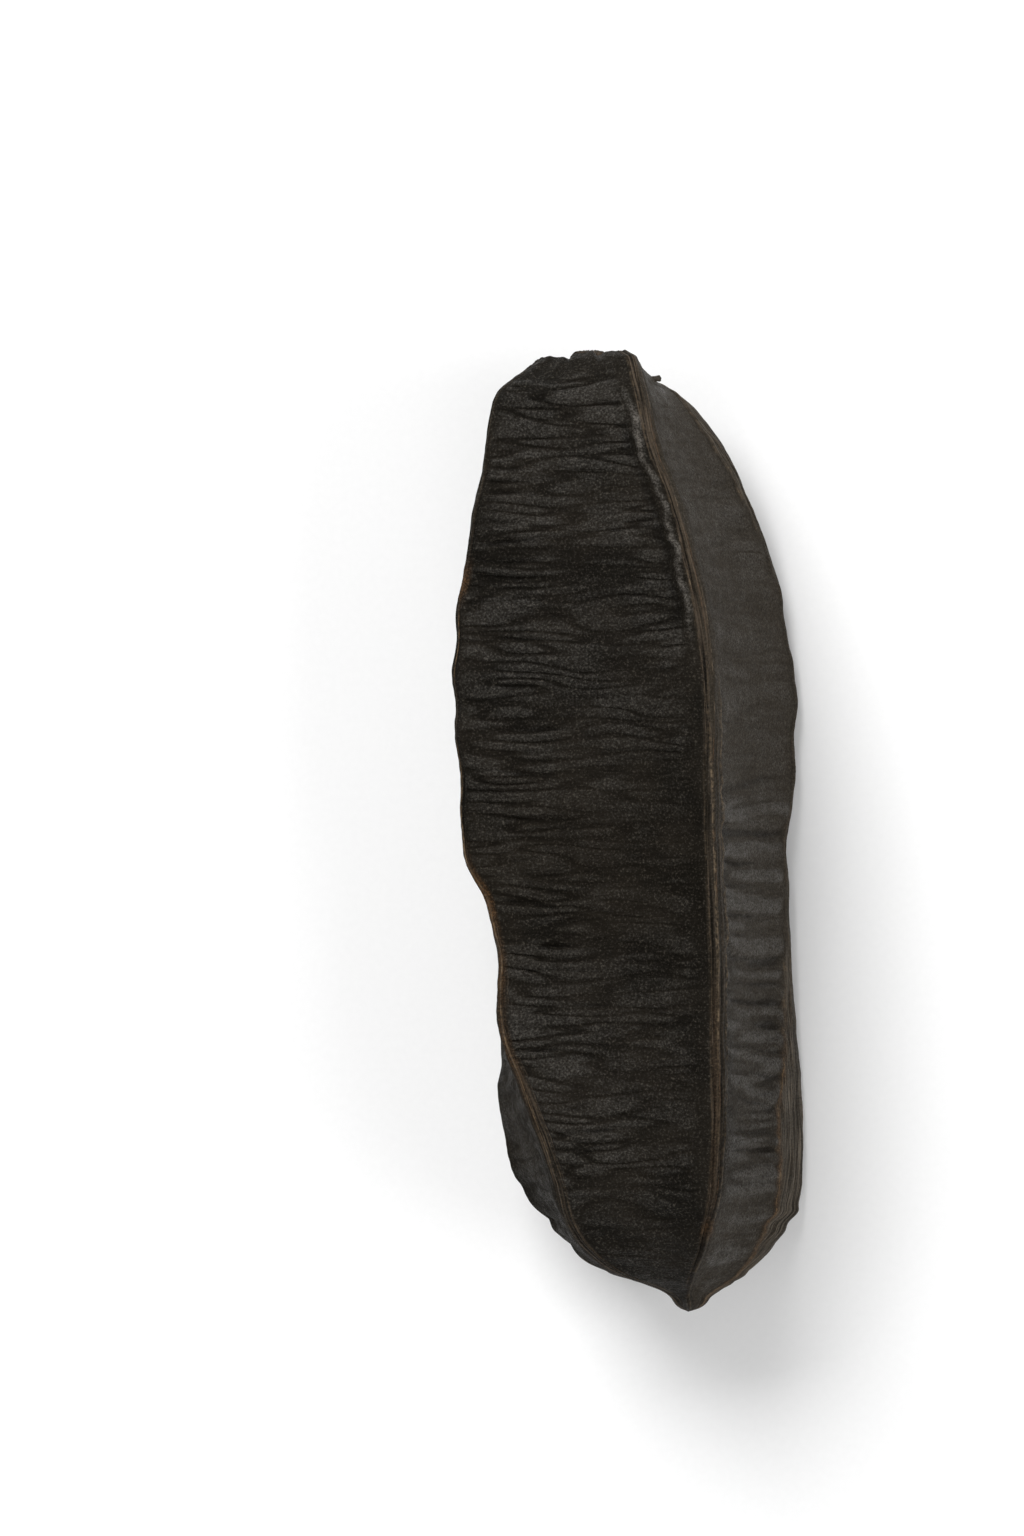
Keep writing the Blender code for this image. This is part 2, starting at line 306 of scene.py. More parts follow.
main_fade = 1 - 0.55 * ramp(share, 0.64, 0.72) - 0.25 * ramp(share, 0.89, 0.94)
right_rim = eased(RIGHT_RIM, share)
near_edge = ramp(np.abs(offset), 3.6, 2.2)
on_body = ramp(scale, 0.9, 1.0)
ends = ramp(share, 0.0, 0.035) * ramp(share, 1.0, 0.94)

# Fine folds across the webs. Each is a row of small pillows between sharp creases, where the wave
# crosses zero. They are deepest beside the left wing and by the lip of the front one
LEFT_FOLD, MIDDLE_FOLD, LIP_FOLD, RIGHT_BAND_FOLD, HIDDEN_FOLD = 0.40, 0.24, 0.27, 0.28, 0.20
FOLD_PITCHES = np.array((1.55, 1.8, 2.3, 2.3))
FOLD_RUNS = np.array((12.5, 24.0, 10.0, 10.0))
SLOW_WAVE, SLOW_WAVE_PITCH, SLOW_WAVE_RUN = 0.55, 2.5, 30.0
SWELL_PITCH, SWELL_HEIGHT, SWELL_SHARPNESS, SWELL_LEVEL = 4.0, 0.74, 0.7, 0.65

fold_pitch, fold_run = FOLD_PITCHES[web], FOLD_RUNS[web]
sway = 0.9 * grain(run / (fold_run * 1.4), down_mm / (fold_pitch * 5), 2.0 + 4 * web)
fold_wave = grain(run / fold_run + 2.7 * web, down_mm / fold_pitch + sway, 1.5 + 4 * web)
fold_wave = fold_wave + 0.22 * grain(run / fold_run * 2.2 + 2.7 * web, down_mm / fold_pitch * 2.1 + sway, 3.5)
pillow = 1 - np.exp(-((3.2 * fold_wave) ** 2))
patchy = 0.95 - 0.12 * ramp(share, 0.30, 0.20) + 0.8 * grain(run / 8 + 5 * web, down_mm / 6, 21.3)
broad_web = web == LEFT
narrow_web = web == FRONT
behind = (web == RIGHT) | (web == BACK)
fold_height = broad_web * (
    LEFT_FOLD * ramp(run, 0.6, 2.2) * ramp(run, 19, 9)
    + MIDDLE_FOLD * ramp(run, 8, 16) * ramp(to_go, 2, 6)
    + LIP_FOLD * ramp(to_go, 3.0 - lip_line * 0.2, 4.6) * ramp(to_go, 14, 7) * ramp(share, 0.36, 0.26)
)
fold_height = fold_height + narrow_web * (
    RIGHT_BAND_FOLD * ramp(to_go, right_rim + 0.8, right_rim + 3.5) * bell(share, 0.76, 0.13)
    * ramp(to_go, right_rim + 14, right_rim + 4)
    + 0.14 * ramp(run, 2, 5) * ramp(to_go, right_rim + 0.8, right_rim + 3.5)
)
fold_height = fold_height + behind * HIDDEN_FOLD * ramp(run, 1, 4) * ramp(to_go, 1, 4)
toward_tip = np.where(broad_web, 0.25 + 0.75 * ramp(share, 0.93, 0.83), 1.0)
fold_height = fold_height * np.clip(patchy, 0.15, 1.4) * toward_tip * on_body * ends
folds = fold_height * (pillow - 0.5)

# A slow wave runs through the folds, and the tip half of the narrow web has broad swells with
# narrow valleys between them
slow_sway = 0.4 * grain(run / np.where(narrow_web, 25, 9), down_mm / 12, 2.2)
slow_wave = grain(run / SLOW_WAVE_RUN, down_mm / SLOW_WAVE_PITCH + slow_sway, 12.5)
rim_side = np.where(narrow_web, right_rim, 3)
swell_place = down_mm / SWELL_PITCH + grain(run / 60, down_mm / 9, 5.2)
swell_place = swell_place + 0.12 * grain(run / 8, down_mm / 6, 7.2)
swell = np.abs(np.sin(pi * swell_place))
swell_patches = np.clip(0.80 + 1.3 * grain(run / 22, down_mm / 5, 6.2), 0.30, 1.2)
swell_room = narrow_web * ramp(share, 0.40, 0.50) * ramp(share, 0.93, 0.86) * swell_patches
swell_room = swell_room * ramp(run, 3.5, 10.5) * ramp(to_go, 0.8 * rim_side, rim_side + 2)
folds = folds + SWELL_HEIGHT * (swell**SWELL_SHARPNESS - SWELL_LEVEL) * swell_room
slow_wave = SLOW_WAVE * slow_wave * ramp(run, 2, 6) * ramp(to_go, rim_side, rim_side + 4)
slow_share = narrow_web * (0.25 + 0.75 * ramp(share, 0.32, 0.5)) + 0.35 * broad_web
folds = folds + slow_wave * on_body * ends * slow_share

# The deepest creases of the broad web: share of the length, where each starts and ends across the
# web, how much it climbs to the right in millimetres, and its depth in millimetres
DEEP_CREASES = (
    (0.052, 0.03, 0.40, 1.2, 0.30), (0.070, 0.42, 0.62, 0.3, 0.22), (0.109, 0.42, 0.66, -0.3, 0.28),
    (0.126, 0.02, 0.20, 0.3, 0.34), (0.128, 0.50, 0.66, -0.6, 0.24), (0.137, 0.02, 0.24, 0.2, 0.36),
    (0.149, 0.02, 0.18, 0.6, 0.30), (0.158, 0.40, 0.70, 0.5, 0.24), (0.179, 0.03, 0.22, 0.2, 0.36),
    (0.190, 0.66, 0.84, 0.4, 0.26), (0.201, 0.03, 0.26, 0.5, 0.40), (0.221, 0.03, 0.28, 0.0, 0.36),
    (0.236, 0.03, 0.30, 0.2, 0.34), (0.262, 0.04, 0.30, 0.5, 0.34), (0.300, 0.06, 0.40, -0.4, 0.30),
    (0.352, 0.04, 0.26, 0.6, 0.34), (0.395, 0.10, 0.44, 0.4, 0.30), (0.441, 0.04, 0.24, -0.5, 0.34),
    (0.488, 0.05, 0.36, 0.3, 0.30), (0.531, 0.10, 0.24, 0.3, 0.32), (0.546, 0.16, 0.32, 0.2, 0.28),
    (0.561, 0.36, 0.50, 0.8, 0.26), (0.576, 0.05, 0.26, -1.3, 0.44), (0.584, 0.38, 0.56, -0.5, 0.28),
    (0.622, 0.06, 0.30, 0.9, 0.34), (0.645, 0.08, 0.50, -0.3, 0.42), (0.663, 0.50, 0.74, 0.8, 0.28),
    (0.681, 0.22, 0.52, -0.4, 0.36), (0.704, 0.44, 0.86, 1.1, 0.22), (0.728, 0.04, 0.22, 1.3, 0.44),
    (0.738, 0.07, 0.38, 0.9, 0.34), (0.762, 0.40, 0.62, 0.6, 0.26), (0.789, 0.08, 0.30, 1.2, 0.34),
    (0.812, 0.06, 0.44, 1.6, 0.40), (0.832, 0.12, 0.34, 1.4, 0.34), (0.858, 0.10, 0.26, 1.1, 0.26),
)
CREASE_WIDTH, CREASE_BULGE = 0.34, 0.95
crease_cut = np.zeros_like(run)
for crease_share, start, end, climb, depth in DEEP_CREASES:
    middle = (start + end) / 2
    reach_out = np.clip(1 - ((way - middle) / ((end - start) / 2)) ** 2, 0, 1) * broad_web
    wander = 0.5 * grain(run / 4, crease_share * 90, 0.7)
    miss = down_mm - crease_share * POD_LENGTH * MM + climb * (way - middle) / (end - start) + wander
    cut = -bell(miss, 0, CREASE_WIDTH) + 0.45 * bell(np.abs(miss), CREASE_BULGE, 0.5)
    crease_cut = crease_cut + depth * np.sqrt(reach_out) * cut
folds = folds + crease_cut * on_body

# The front wing's rolled lip, on its left in the stem half, with a hollow and a dark flank beyond it
LIP_HEIGHT, LIP_HALF_WIDTH = 0.66, 0.66
LIP_HOLLOW, LIP_FLANK = 0.24, 0.40
lip_run = ramp(share, 0.015, 0.075) * ramp(share, 0.33, 0.25) * on_body
lip_side = broad_web * (run > to_go)
lip_line = lip_line + 0.55 * grain(down_mm / 2.6, 0.4, 33.5) + 0.40 * grain(down_mm / 1.0, 0.4, 34.5)
lumps = 0.25 + 2.3 * np.abs(grain(0.3 + offset / 3, down_mm / 1.8, 30.5))
lip_width = LIP_HALF_WIDTH + 0.55 * bell(share, 0.055, 0.03)
lip = LIP_HEIGHT * np.minimum(1.2, lumps) * bell(offset, lip_line, lip_width)
lip = lip - LIP_HOLLOW * bell(offset, lip_line + 1.0, 0.36)
lip = lip - LIP_FLANK * bell(offset, lip_line - 2.2, 1.2)
folds = folds + lip * lip_run * lip_side

# Lengthwise fibres and the lines of each wing edge, ridges and grooves. The left wing has a second
# pair of them near the tip, and the front one a fibrous band up to its seam
left_band = ramp(share, 0.70, 0.80)
seam_band = ramp(share, 0.32, 0.42)

# Each line: wing, how far past its edge, height, half width, and how tan it is
EDGE_LINES = (
    (FRONT, main_line, 0.16, 0.18, (0.55 + ramp(share, 0.36, 0.46)) * main_fade),
    (FRONT, -0.35 * front_band, -0.20, 0.16, 0),
    (FRONT, -0.75 * front_band * ramp(share, 0.32, 0.45), 0.10, 0.18, 0.3),
    (FRONT, 0.9 * front_band, -0.16, 0.15, 0),
    (FRONT, 0.85 * front_band, 0.12, 0.15, 0.5 * ramp(share, 0.42, 0.3)),
    (FRONT, front_seam, 0.22, 0.60, 1.1 * ramp(share, 0.28, 0.42) * main_fade),
    (FRONT, front_seam + 0.9, -0.18, 0.40, 0),
    (FRONT, 0.36 * front_seam, -0.24 * seam_band, 0.30, 0),
    (FRONT, 0.55 * front_seam, 0.12 * seam_band, 0.26, 0.5 * ramp(share, 0.34, 0.44) * main_fade),
    (FRONT, 0.76 * front_seam, -0.24 * seam_band, 0.34, 0),
    (LEFT, 0.20, 0.12, 0.17, 1.4 - 0.9 * ramp(share, 0.78, 0.88)),
    (LEFT, 0.75, -0.20, 0.20, 0),
    (LEFT, 1.25, 0.12 * left_band, 0.18, 0.5 * left_band),
    (LEFT, 1.75, -0.16 * left_band, 0.22, 0),
    (LEFT, -0.60, 0.12, 0.22, 0.2),
    (RIGHT, -right_rim, 0.16, 0.22, 0.6),
    (RIGHT, -right_rim - 0.6, -0.12, 0.40, 0),
    (RIGHT, -0.80 * right_rim, 0.12, 0.22, 0.25),
    (RIGHT, -0.68 * right_rim, -0.14, 0.30, 0),
    (RIGHT, -0.55 * right_rim, 0.16, 0.30, 0.3),
    (RIGHT, -0.35 * right_rim, -0.14, 0.30, 0),
    (RIGHT, -0.6, 0.12, 0.24, 0.4),
    (RIGHT, 0.9, 0.12, 0.24, 0.5),
    (RIGHT, 2.1, -0.10, 0.30, 0),
    (BACK, -1.10, -0.16, 0.26, 0),
    (BACK, -0.50, 0.12, 0.24, 0.6),
    (BACK, 0.70, 0.14, 0.26, 0.5),
)
fibre_wave = grain(offset / 0.7, down_mm / 9, 17.5 + 3 * nearest)
rim_fibre = ramp(-offset, right_rim + 0.4, right_rim - 0.6) * (offset < 0) * (nearest == RIGHT)
edge_relief = 0.20 * fibre_wave * np.maximum(near_edge, rim_fibre)
line_wander = 0.22 * grain(down_mm / 11, 3.3 * nearest, 0.4)
tan = np.zeros_like(offset)
groove_shade = np.zeros_like(offset)
for number, (wing, line_offset, height, half_width, tan_share) in enumerate(EDGE_LINES):
    lasts = 0.7 + 0.8 * grain(down_mm / 12, 5.1 * number, 2.6)
    line = (nearest == wing) * bell(offset, line_offset + line_wander, half_width)
    edge_relief = edge_relief + height * lasts * line
    tan = tan + tan_share * line
    # The grooves are painted darker too, a painted shade
    groove_shade = groove_shade + 6 * np.maximum(-height, 0) * lasts * line
edge_relief = edge_relief * on_body * np.minimum(1, size * 1.6)

# Fine unevenness all over, and the ragged, radially split stem end
fine = 0.07 * grain(run / np.where(narrow_web, 5, 1.6) + 9 * web, down_mm / 1.1, 41.5) * on_body
lengthwise = 0.10 * grain(run / 1.5 + 9 * web, down_mm / 14, 43.5) * on_body * behind
ray = turn * 9
ragged = (1 - on_body) * (0.30 * grain(ray, scale * 6, 51.5) + 0.16 * grain(ray * 3, scale * 14, 53.5))
rim = bell(share, 0, 0.012) * on_body * 0.35 * grain(turn * 7, 1.2, 55.5)
relief = (folds + edge_relief + fine + lengthwise + ragged + rim) * (0.15 + 0.85 * ramp(share, 0.995, 0.95))
place = place + skin_normals(place) * relief[:, :, None] / MM

# The rim of the stem end is worn into low bumps and notches, in millimetres across the broad web
# by share of the way, and by chance on the other webs
BROAD_NOTCHES = (
    (0.0, 1.0), (0.05, 0.5), (0.12, 0.35), (0.28, 0.5), (0.36, 1.3), (0.44, 0.2),
    (0.70, 0.0), (0.76, 0.9), (0.84, 0.15), (1.0, 0.0),
)
around = turn * reach_rows.mean(axis=1, keepdims=True) * MM
chance = np.sin(pi * way) ** 0.5 * (0.6 + 1.1 * grain(around / 5, 3.0, 57.5))
chance = chance + (web == BACK) * ramp(way, 0.85, 1)
notches = np.where(broad_web, eased(BROAD_NOTCHES, way), chance) + 0.35 * grain(around / 1.5, 5.0, 58.5)
rim_wear = ramp(scale, 0.55, 1.0) * np.maximum(0, 1 - share * POD_LENGTH / RIM_WEAR_RUN) ** 2
place[:, :, 1] -= notches * rim_wear / MM

# Turned as the pod lies, set on the surface and rubbed flat where it touches
lie = np.array(Matrix.Rotation(PITCH, 3, "X") @ Matrix.Rotation(ROLL, 3, "Y"))
place = place @ lie.T
box_low, box_high = place.min(axis=(0, 1)), place.max(axis=(0, 1))
cad_box_low, cad_box_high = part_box("pod")
shift = np.array((cad_box_low + cad_box_high) / 2) - (box_low + box_high) / 2
shift[2] = cad_box_low.z - FLAT_DEPTH - box_low[2]
place = place + shift
place[:, :, 2] = np.maximum(place[:, :, 2], cad_box_low.z)

# The grid becomes one closed mesh, with a point at the stalk and one at the tip
rows, columns = place.shape[:2]
points = place.reshape(-1, 3)
lie_down = lie @ np.array((0, -1, 0))
stalk_top = place[0].mean(axis=0)
tip = place[-1].mean(axis=0) + lie_down * TIP_POINT
numbers = np.arange(rows * columns).reshape(rows, columns)
right_hand = np.roll(numbers, -1, axis=1)
quads = np.stack([numbers[:-1], numbers[1:], right_hand[1:], right_hand[:-1]], axis=2).reshape(-1, 4)
first, last = rows * columns, rows * columns + 1
faces = quads.tolist()
faces += [(first, a, b) for a, b in zip(numbers[0].tolist(), right_hand[0].tolist())]
faces += [(last, b, a) for a, b in zip(numbers[-1].tolist(), right_hand[-1].tolist())]
pod_mesh = bpy.data.meshes.new("pod_skin")
pod_mesh.from_pydata([*points.tolist(), stalk_top.tolist(), tip.tolist()], [], faces)
pod_mesh.shade_smooth()
pod = bpy.data.objects.new("pod_skin", pod_mesh)
bpy.context.scene.collection.objects.link(pod)


def keep_value(mesh, name, values):
    """Stores one number for each grid point on the mesh, with 0 at the two end points."""
    attribute = mesh.attributes.new(name, "FLOAT", "POINT")
    attribute.data.foreach_set("value", np.append(np.broadcast_to(values, (rows, columns)).ravel(), (0, 0)))


# What the material reads: the place along and across the wing edges, where shade is painted in the creases,
# grooves and swell valleys, how high a point stands, and where the brown, tan and rusty colours show
# Painted shade: the creases of the folds, the grooves beside the wing edges and the valleys between the
# swells
crease_shade = np.maximum(ramp(-folds, 0.12, 0.42), np.minimum(1.5, groove_shade) * on_body)
crease_shade = np.maximum(crease_shade, 0.55 * ramp(swell, 0.45, 0.0) * swell_room)
# Where a highlight is painted along the top of the lip
lip_top_highlight = bell(offset, lip_line, lip_width - 0.21) * np.minimum(1, lumps) * lip_run * lip_side
lip_top_highlight = lip_top_highlight * np.clip(0.75 + 1.2 * grain(down_mm / 5, 0.7, 36.5), 0.2, 1)
# How high a point stands on its folds and swells: it sets where a grey highlight is painted
standing = ramp(folds, 0.02, 0.35) * np.where(narrow_web, 0.8 + 0.9 * ramp(share, 0.40, 0.50), 1.0)
of_wing = [nearest == RIGHT, nearest == LEFT, nearest == FRONT]
brown_left = np.select(of_wing, [right_rim + 0.5, 0.45 + 0.25 * left_band, 1.15 * front_band], 2.0)
front_brown = np.where(share < 0.4, 1.2 * front_band, 0.3 + 0.8 * front_seam)
brown_right = np.select(of_wing, [1.6, 0.9 + 0.9 * left_band, front_brown], 2.0)
brown_width = np.where(offset < 0, brown_left, brown_right)
worn = np.where(nearest == LEFT, 0.15 + 0.85 * ramp(share, 0.42, 0.52) - 0.45 * ramp(share, 0.64, 0.74), 1.0)
worn = np.where(nearest == RIGHT, 0.35 + 0.65 * (ramp(share, 0.18, 0.12) + ramp(share, 0.55, 0.68)), worn)
worn = np.where(nearest == FRONT, 1 - 0.72 * ramp(share, 0.26, 0.36) - 0.15 * ramp(share, 0.88, 0.94), worn)
brown = ramp(np.abs(offset), brown_width, brown_width * 0.7) * on_body * worn
tan = np.minimum(1, tan) * on_body * np.where(nearest == FRONT, 1.0, worn)

# The left wing's rusty patches: share of the length, half length as a share, and strength
RUSTY_PATCHES = ((0.235, 0.016, 1.0), (0.567, 0.034, 1.3), (0.64, 0.03, 0.5), (0.72, 0.05, 0.45))
left_rust = sum(strength * bell(share, middle, half) for middle, half, strength in RUSTY_PATCHES)
rust = (nearest == LEFT) * ramp(np.abs(offset), 1.9, 0.4) * left_rust
rust = rust + (nearest == FRONT) * ramp(np.abs(offset - 0.9), 2.0, 0.8) * bell(share, 0.910, 0.009) * 0.8
faint_rust = ramp(np.abs(offset), 1.2, 0.5) * ramp(share, 0.6, 0.7) * ramp(share, 0.92, 0.86)
rust = rust + (nearest == FRONT) * faint_rust * 0.20
rust = rust + (nearest == RIGHT) * bell(offset, -right_rim + 0.3, 0.6) * ramp(share, 0.62, 0.8) * 0.7

# How grey the right rim is, how glossy the skin is together with how strong its painted highlight is, and how
# much painted light lifts its black
rim_grey = (nearest == RIGHT) * 0.75
broad_gloss_and_highlight = 1 - 0.45 * bell(share, 0.53, 0.11)
narrow_gloss_and_highlight = 0.75 + 0.15 * ramp(share, 0.40, 0.50)
gloss_and_highlight = np.select([broad_web, narrow_web], [broad_gloss_and_highlight, narrow_gloss_and_highlight], 0.25)
# Painted light: the narrow web, which faces the right light, is painted lighter, less so toward the tip and
# beside the front wing there. The hidden webs get a little, the broad web none
seam_shade = ramp(run, 12, 5) * ramp(share, 0.42, 0.52) * ramp(share, 0.92, 0.84)
narrow_painted_light = 1.0 - 0.25 * ramp(share, 0.6, 0.75) - 0.38 * seam_shade
painted_light = np.select([broad_web, narrow_web], [0.0, narrow_painted_light], 0.15)
stalk_wood = ramp(scale, STALK_RADIUS_SHARE + 0.05, STALK_RADIUS_SHARE - 0.08) * (1 - on_body)
for name, values in {
    "fold_wave": fold_wave, "fold_height": fold_height, "offset_mm": offset, "down_mm": down_mm,
    "wing": nearest * 10.0, "painted_shade": crease_shade, "standing": standing, "lip": lip_top_highlight,
    "brown": brown, "tan": tan, "rust": np.minimum(1, rust), "wood": stalk_wood,
    "gloss_and_highlight": gloss_and_highlight, "painted_light": painted_light, "rim_grey": rim_grey,
}.items():
    keep_value(pod_mesh, name, values)

# An even map for the grid, so that a bake keeps the skin in one sheet, with a strip at each end for
# the faces that meet at the stalk's and the tip's points
end_strip = 0.02
top, left = np.divmod(np.arange((rows - 1) * columns), columns)
u = np.stack([left, left, left + 1, left + 1], axis=1) / columns
v = 1 - end_strip - (1 - 2 * end_strip) * np.stack([top, top + 1, top + 1, top], axis=1) / (rows - 1)
spoke = np.arange(columns)
stalk_u = np.stack([spoke + 0.5, spoke, spoke + 1], axis=1) / columns
stalk_v = np.tile((1.0, 1 - end_strip, 1 - end_strip), (columns, 1))
tip_u = np.stack([spoke + 0.5, spoke + 1, spoke], axis=1) / columns
sheet_u = np.concatenate([u.ravel(), stalk_u.ravel(), tip_u.ravel()])
sheet_v = np.concatenate([v.ravel(), stalk_v.ravel(), 1 - stalk_v.ravel()])
sheet = pod_mesh.uv_layers.new(name="OFBake")
sheet.data.foreach_set("uv", np.stack([sheet_u, sheet_v], axis=1).ravel())


class Finish:
    """A material in the making: each method adds one node and returns its result socket."""

    def __init__(self, name):
        self.material = bpy.data.materials.new(name)
        self.material.use_nodes = True
        self.tree = self.material.node_tree
        self.shader = self.tree.nodes["Principled BSDF"]

    def put(self, socket, value):
        """Gives a socket a number or another node's result."""
        if isinstance(value, bpy.types.NodeSocket):
            self.tree.links.new(value, socket)
        else:
            socket.default_value = value

    def value(self, name):
        """One of the mesh's stored numbers."""
        node = self.tree.nodes.new("ShaderNodeAttribute")
        node.attribute_name = name
        return node.outputs["Fac"]

    def place(self, scale):
        """The place on the part, scaled: 1000 gives millimetres."""
        node = self.tree.nodes.new("ShaderNodeTexCoord")
        mapping = self.tree.nodes.new("ShaderNodeMapping")
        mapping.inputs["Scale"].default_value = (scale, scale, scale)
        self.tree.links.new(node.outputs["Object"], mapping.inputs["Vector"])
        return mapping.outputs["Vector"]

    def stretch(self, place, around, along):
        """A place scaled by one number round the pod and by another along it."""
        node = self.tree.nodes.new("ShaderNodeMapping")
        node.inputs["Scale"].default_value = (around, along, around)
        self.tree.links.new(place, node.inputs["Vector"])
        return node.outputs["Vector"]

    def fibre_place(self, across, along):
        """The place beside a wing edge, stretched along it."""
        node = self.tree.nodes.new("ShaderNodeCombineXYZ")
        self.put(node.inputs["X"], self.maths("MULTIPLY", self.value("offset_mm"), across))
        self.put(node.inputs["Y"], self.maths("MULTIPLY", self.value("down_mm"), along))
        self.put(node.inputs["Z"], self.value("wing"))
        return node.outputs["Vector"]

    def noise(self, place, scale=1.0, detail=2.0, roughness=0.5, distortion=0.0):
        node = self.tree.nodes.new("ShaderNodeTexNoise")
        self.put(node.inputs["Vector"], place)
        node.inputs["Scale"].default_value = scale
        node.inputs["Detail"].default_value = detail
        node.inputs["Roughness"].default_value = roughness
        node.inputs["Distortion"].default_value = distortion
        return node.outputs["Fac"]

    def maths(self, operation, a, b=0.0):
        node = self.tree.nodes.new("ShaderNodeMath")
        node.operation = operation
        self.put(node.inputs[0], a)
        self.put(node.inputs[1], b)
        return node.outputs["Value"]

    def fit(self, value, low, high, to_low=0.0, to_high=1.0):
        """The value from low to high, fitted to another range and kept inside it."""
        node = self.tree.nodes.new("ShaderNodeMapRange")
        for name, number in zip(("From Min", "From Max", "To Min", "To Max"), (low, high, to_low, to_high)):
            node.inputs[name].default_value = number
        self.put(node.inputs["Value"], value)
        return node.outputs["Result"]

    def mix(self, share, a, b, blend="MIX"):
        node = self.tree.nodes.new("ShaderNodeMix")
        node.data_type = "RGBA"
        node.blend_type = blend
        self.put(node.inputs[0], share)
        self.put(node.inputs[6], a if isinstance(a, bpy.types.NodeSocket) else (*a, 1))
        self.put(node.inputs[7], b if isinstance(b, bpy.types.NodeSocket) else (*b, 1))
        return node.outputs[2]

    def bump(self, height, distance, strength, under=None):
        node = self.tree.nodes.new("ShaderNodeBump")
        node.inputs["Strength"].default_value = strength
        node.inputs["Distance"].default_value = distance
        self.put(node.inputs["Height"], height)
        if under is not None:
            self.put(node.inputs["Normal"], under)
        return node.outputs["Normal"]

    def close(self, colour, roughness, normal, gloss):
        """Joins the results to the shader and gives back the material."""
        self.put(self.shader.inputs["Base Color"], colour)
        self.put(self.shader.inputs["Roughness"], roughness)
        self.put(self.shader.inputs["Normal"], normal)
        self.put(self.shader.inputs["Specular IOR Level"], gloss)
        return self.material


# The skin's colours, bare, with painted highlight, painted shade and painted light, and those of the worn
# fibres, the rust and the stalk
BLACK_SKIN = (0.0060, 0.0051, 0.0037)
BROWN_SKIN = (0.0120, 0.0098, 0.0071)
PAINTED_LIGHT_SKIN = (0.0400, 0.0330, 0.0247)
PAINTED_CREASE_SHADE = (0.0028, 0.0023, 0.0017)
PAINTED_HIGHLIGHT_GREY = (0.040, 0.0352, 0.0280)
PAINTED_LIP_HIGHLIGHT = (0.115, 0.103, 0.088)
SPECKLE = (0.082, 0.070, 0.054)
FIBRE_DARK = (0.019, 0.0150, 0.0108)
FIBRE_BROWN = (0.094, 0.072, 0.052)
FIBRE_TAN = (0.205, 0.150, 0.094)
RIM_DARK = (0.026, 0.0222, 0.0173)
RIM_GREY = (0.142, 0.122, 0.098)
RUST = (0.120, 0.062, 0.026)
STALK_WOOD = (0.075, 0.056, 0.040)

skin = Finish("dried_pod_skin")
mm = skin.place(MM)
blotches = skin.noise(mm, 0.09, 3, 0.55)
mottle = skin.noise(mm, 0.55, 4, 0.6)
specks = skin.noise(mm, 2.7, 3, 0.7)
puckers = skin.noise(skin.stretch(mm, 0.22, 1.15), 1, 4, 0.6, 0.4)
streaks = skin.noise(skin.fibre_place(3.2, 0.10), 1, 3, 0.55, 0.3)
broken = skin.noise(skin.fibre_place(0.9, 0.80), 1, 4, 0.7)
fold_wave = skin.maths("ABSOLUTE", skin.value("fold_wave"))
fold_height = skin.value("fold_height")
pillow = skin.maths("MINIMUM", skin.maths("MULTIPLY", fold_wave, 3.6), 1.0)
folded = skin.fit(fold_height, 0.05, 0.40)
colour = skin.mix(skin.fit(blotches, 0.38, 0.62), BLACK_SKIN, BROWN_SKIN)
# Painted light: the narrow web is painted a lighter, warmer black, and the hidden webs a little
painted_light_share = skin.maths("MULTIPLY", skin.value("painted_light"), skin.fit(specks, 0.38, 0.62, 0.48, 1.10))
colour = skin.mix(painted_light_share, colour, PAINTED_LIGHT_SKIN)
# Painted highlight: the pillows' tops and whatever stands up are painted a lighter grey, less where the skin
# is less glossy
pillow_tops = skin.maths("MULTIPLY", skin.fit(pillow, 0.4, 1), folded)
painted_highlight = skin.maths("MAXIMUM", skin.value("standing"), pillow_tops)
painted_highlight = skin.fit(painted_highlight, 0.0, 1.0, 0.19, 0.93)
painted_highlight = skin.maths("MULTIPLY", painted_highlight, skin.fit(mottle, 0.36, 0.68, 0.40, 0.66))
painted_highlight = skin.maths("MULTIPLY", painted_highlight, skin.fit(skin.value("gloss_and_highlight"), 0.0, 1.0, 0.4, 1.0))
painted_highlight = skin.maths("MULTIPLY", painted_highlight, skin.fit(specks, 0.40, 0.60, 0.25, 1.0))
colour = skin.mix(painted_highlight, colour, PAINTED_HIGHLIGHT_GREY)
colour = skin.mix(skin.fit(specks, 0.56, 0.68, 0.0, 0.48), colour, SPECKLE)
# Painted highlight: the top of the front wing's lip is painted light grey
lip_highlight = skin.maths("MULTIPLY", skin.value("lip"), skin.fit(specks, 0.40, 0.58, 0.15, 0.9))
colour = skin.mix(lip_highlight, colour, PAINTED_LIP_HIGHLIGHT)
fibrous = skin.maths("MULTIPLY", skin.value("brown"), skin.fit(streaks, 0.40, 0.58, 0.15, 1.0))
fibre_colour = skin.mix(skin.fit(streaks, 0.42, 0.62), FIBRE_DARK, FIBRE_BROWN)
rim_colour = skin.mix(skin.fit(streaks, 0.42, 0.62), RIM_DARK, RIM_GREY)
fibre_colour = skin.mix(skin.value("rim_grey"), fibre_colour, rim_colour)
colour = skin.mix(fibrous, colour, fibre_colour)
rusty = skin.maths("MULTIPLY", skin.value("rust"), skin.fit(specks, 0.44, 0.58, 0.20, 0.85))
colour = skin.mix(rusty, colour, RUST)
tan_lines = skin.maths("MULTIPLY", skin.value("tan"), skin.fit(broken, 0.44, 0.60, 0.0, 0.8))
tan_lines = skin.maths("MULTIPLY", tan_lines, skin.fit(streaks, 0.36, 0.56, 0.3, 1.0))
colour = skin.mix(tan_lines, colour, FIBRE_TAN)
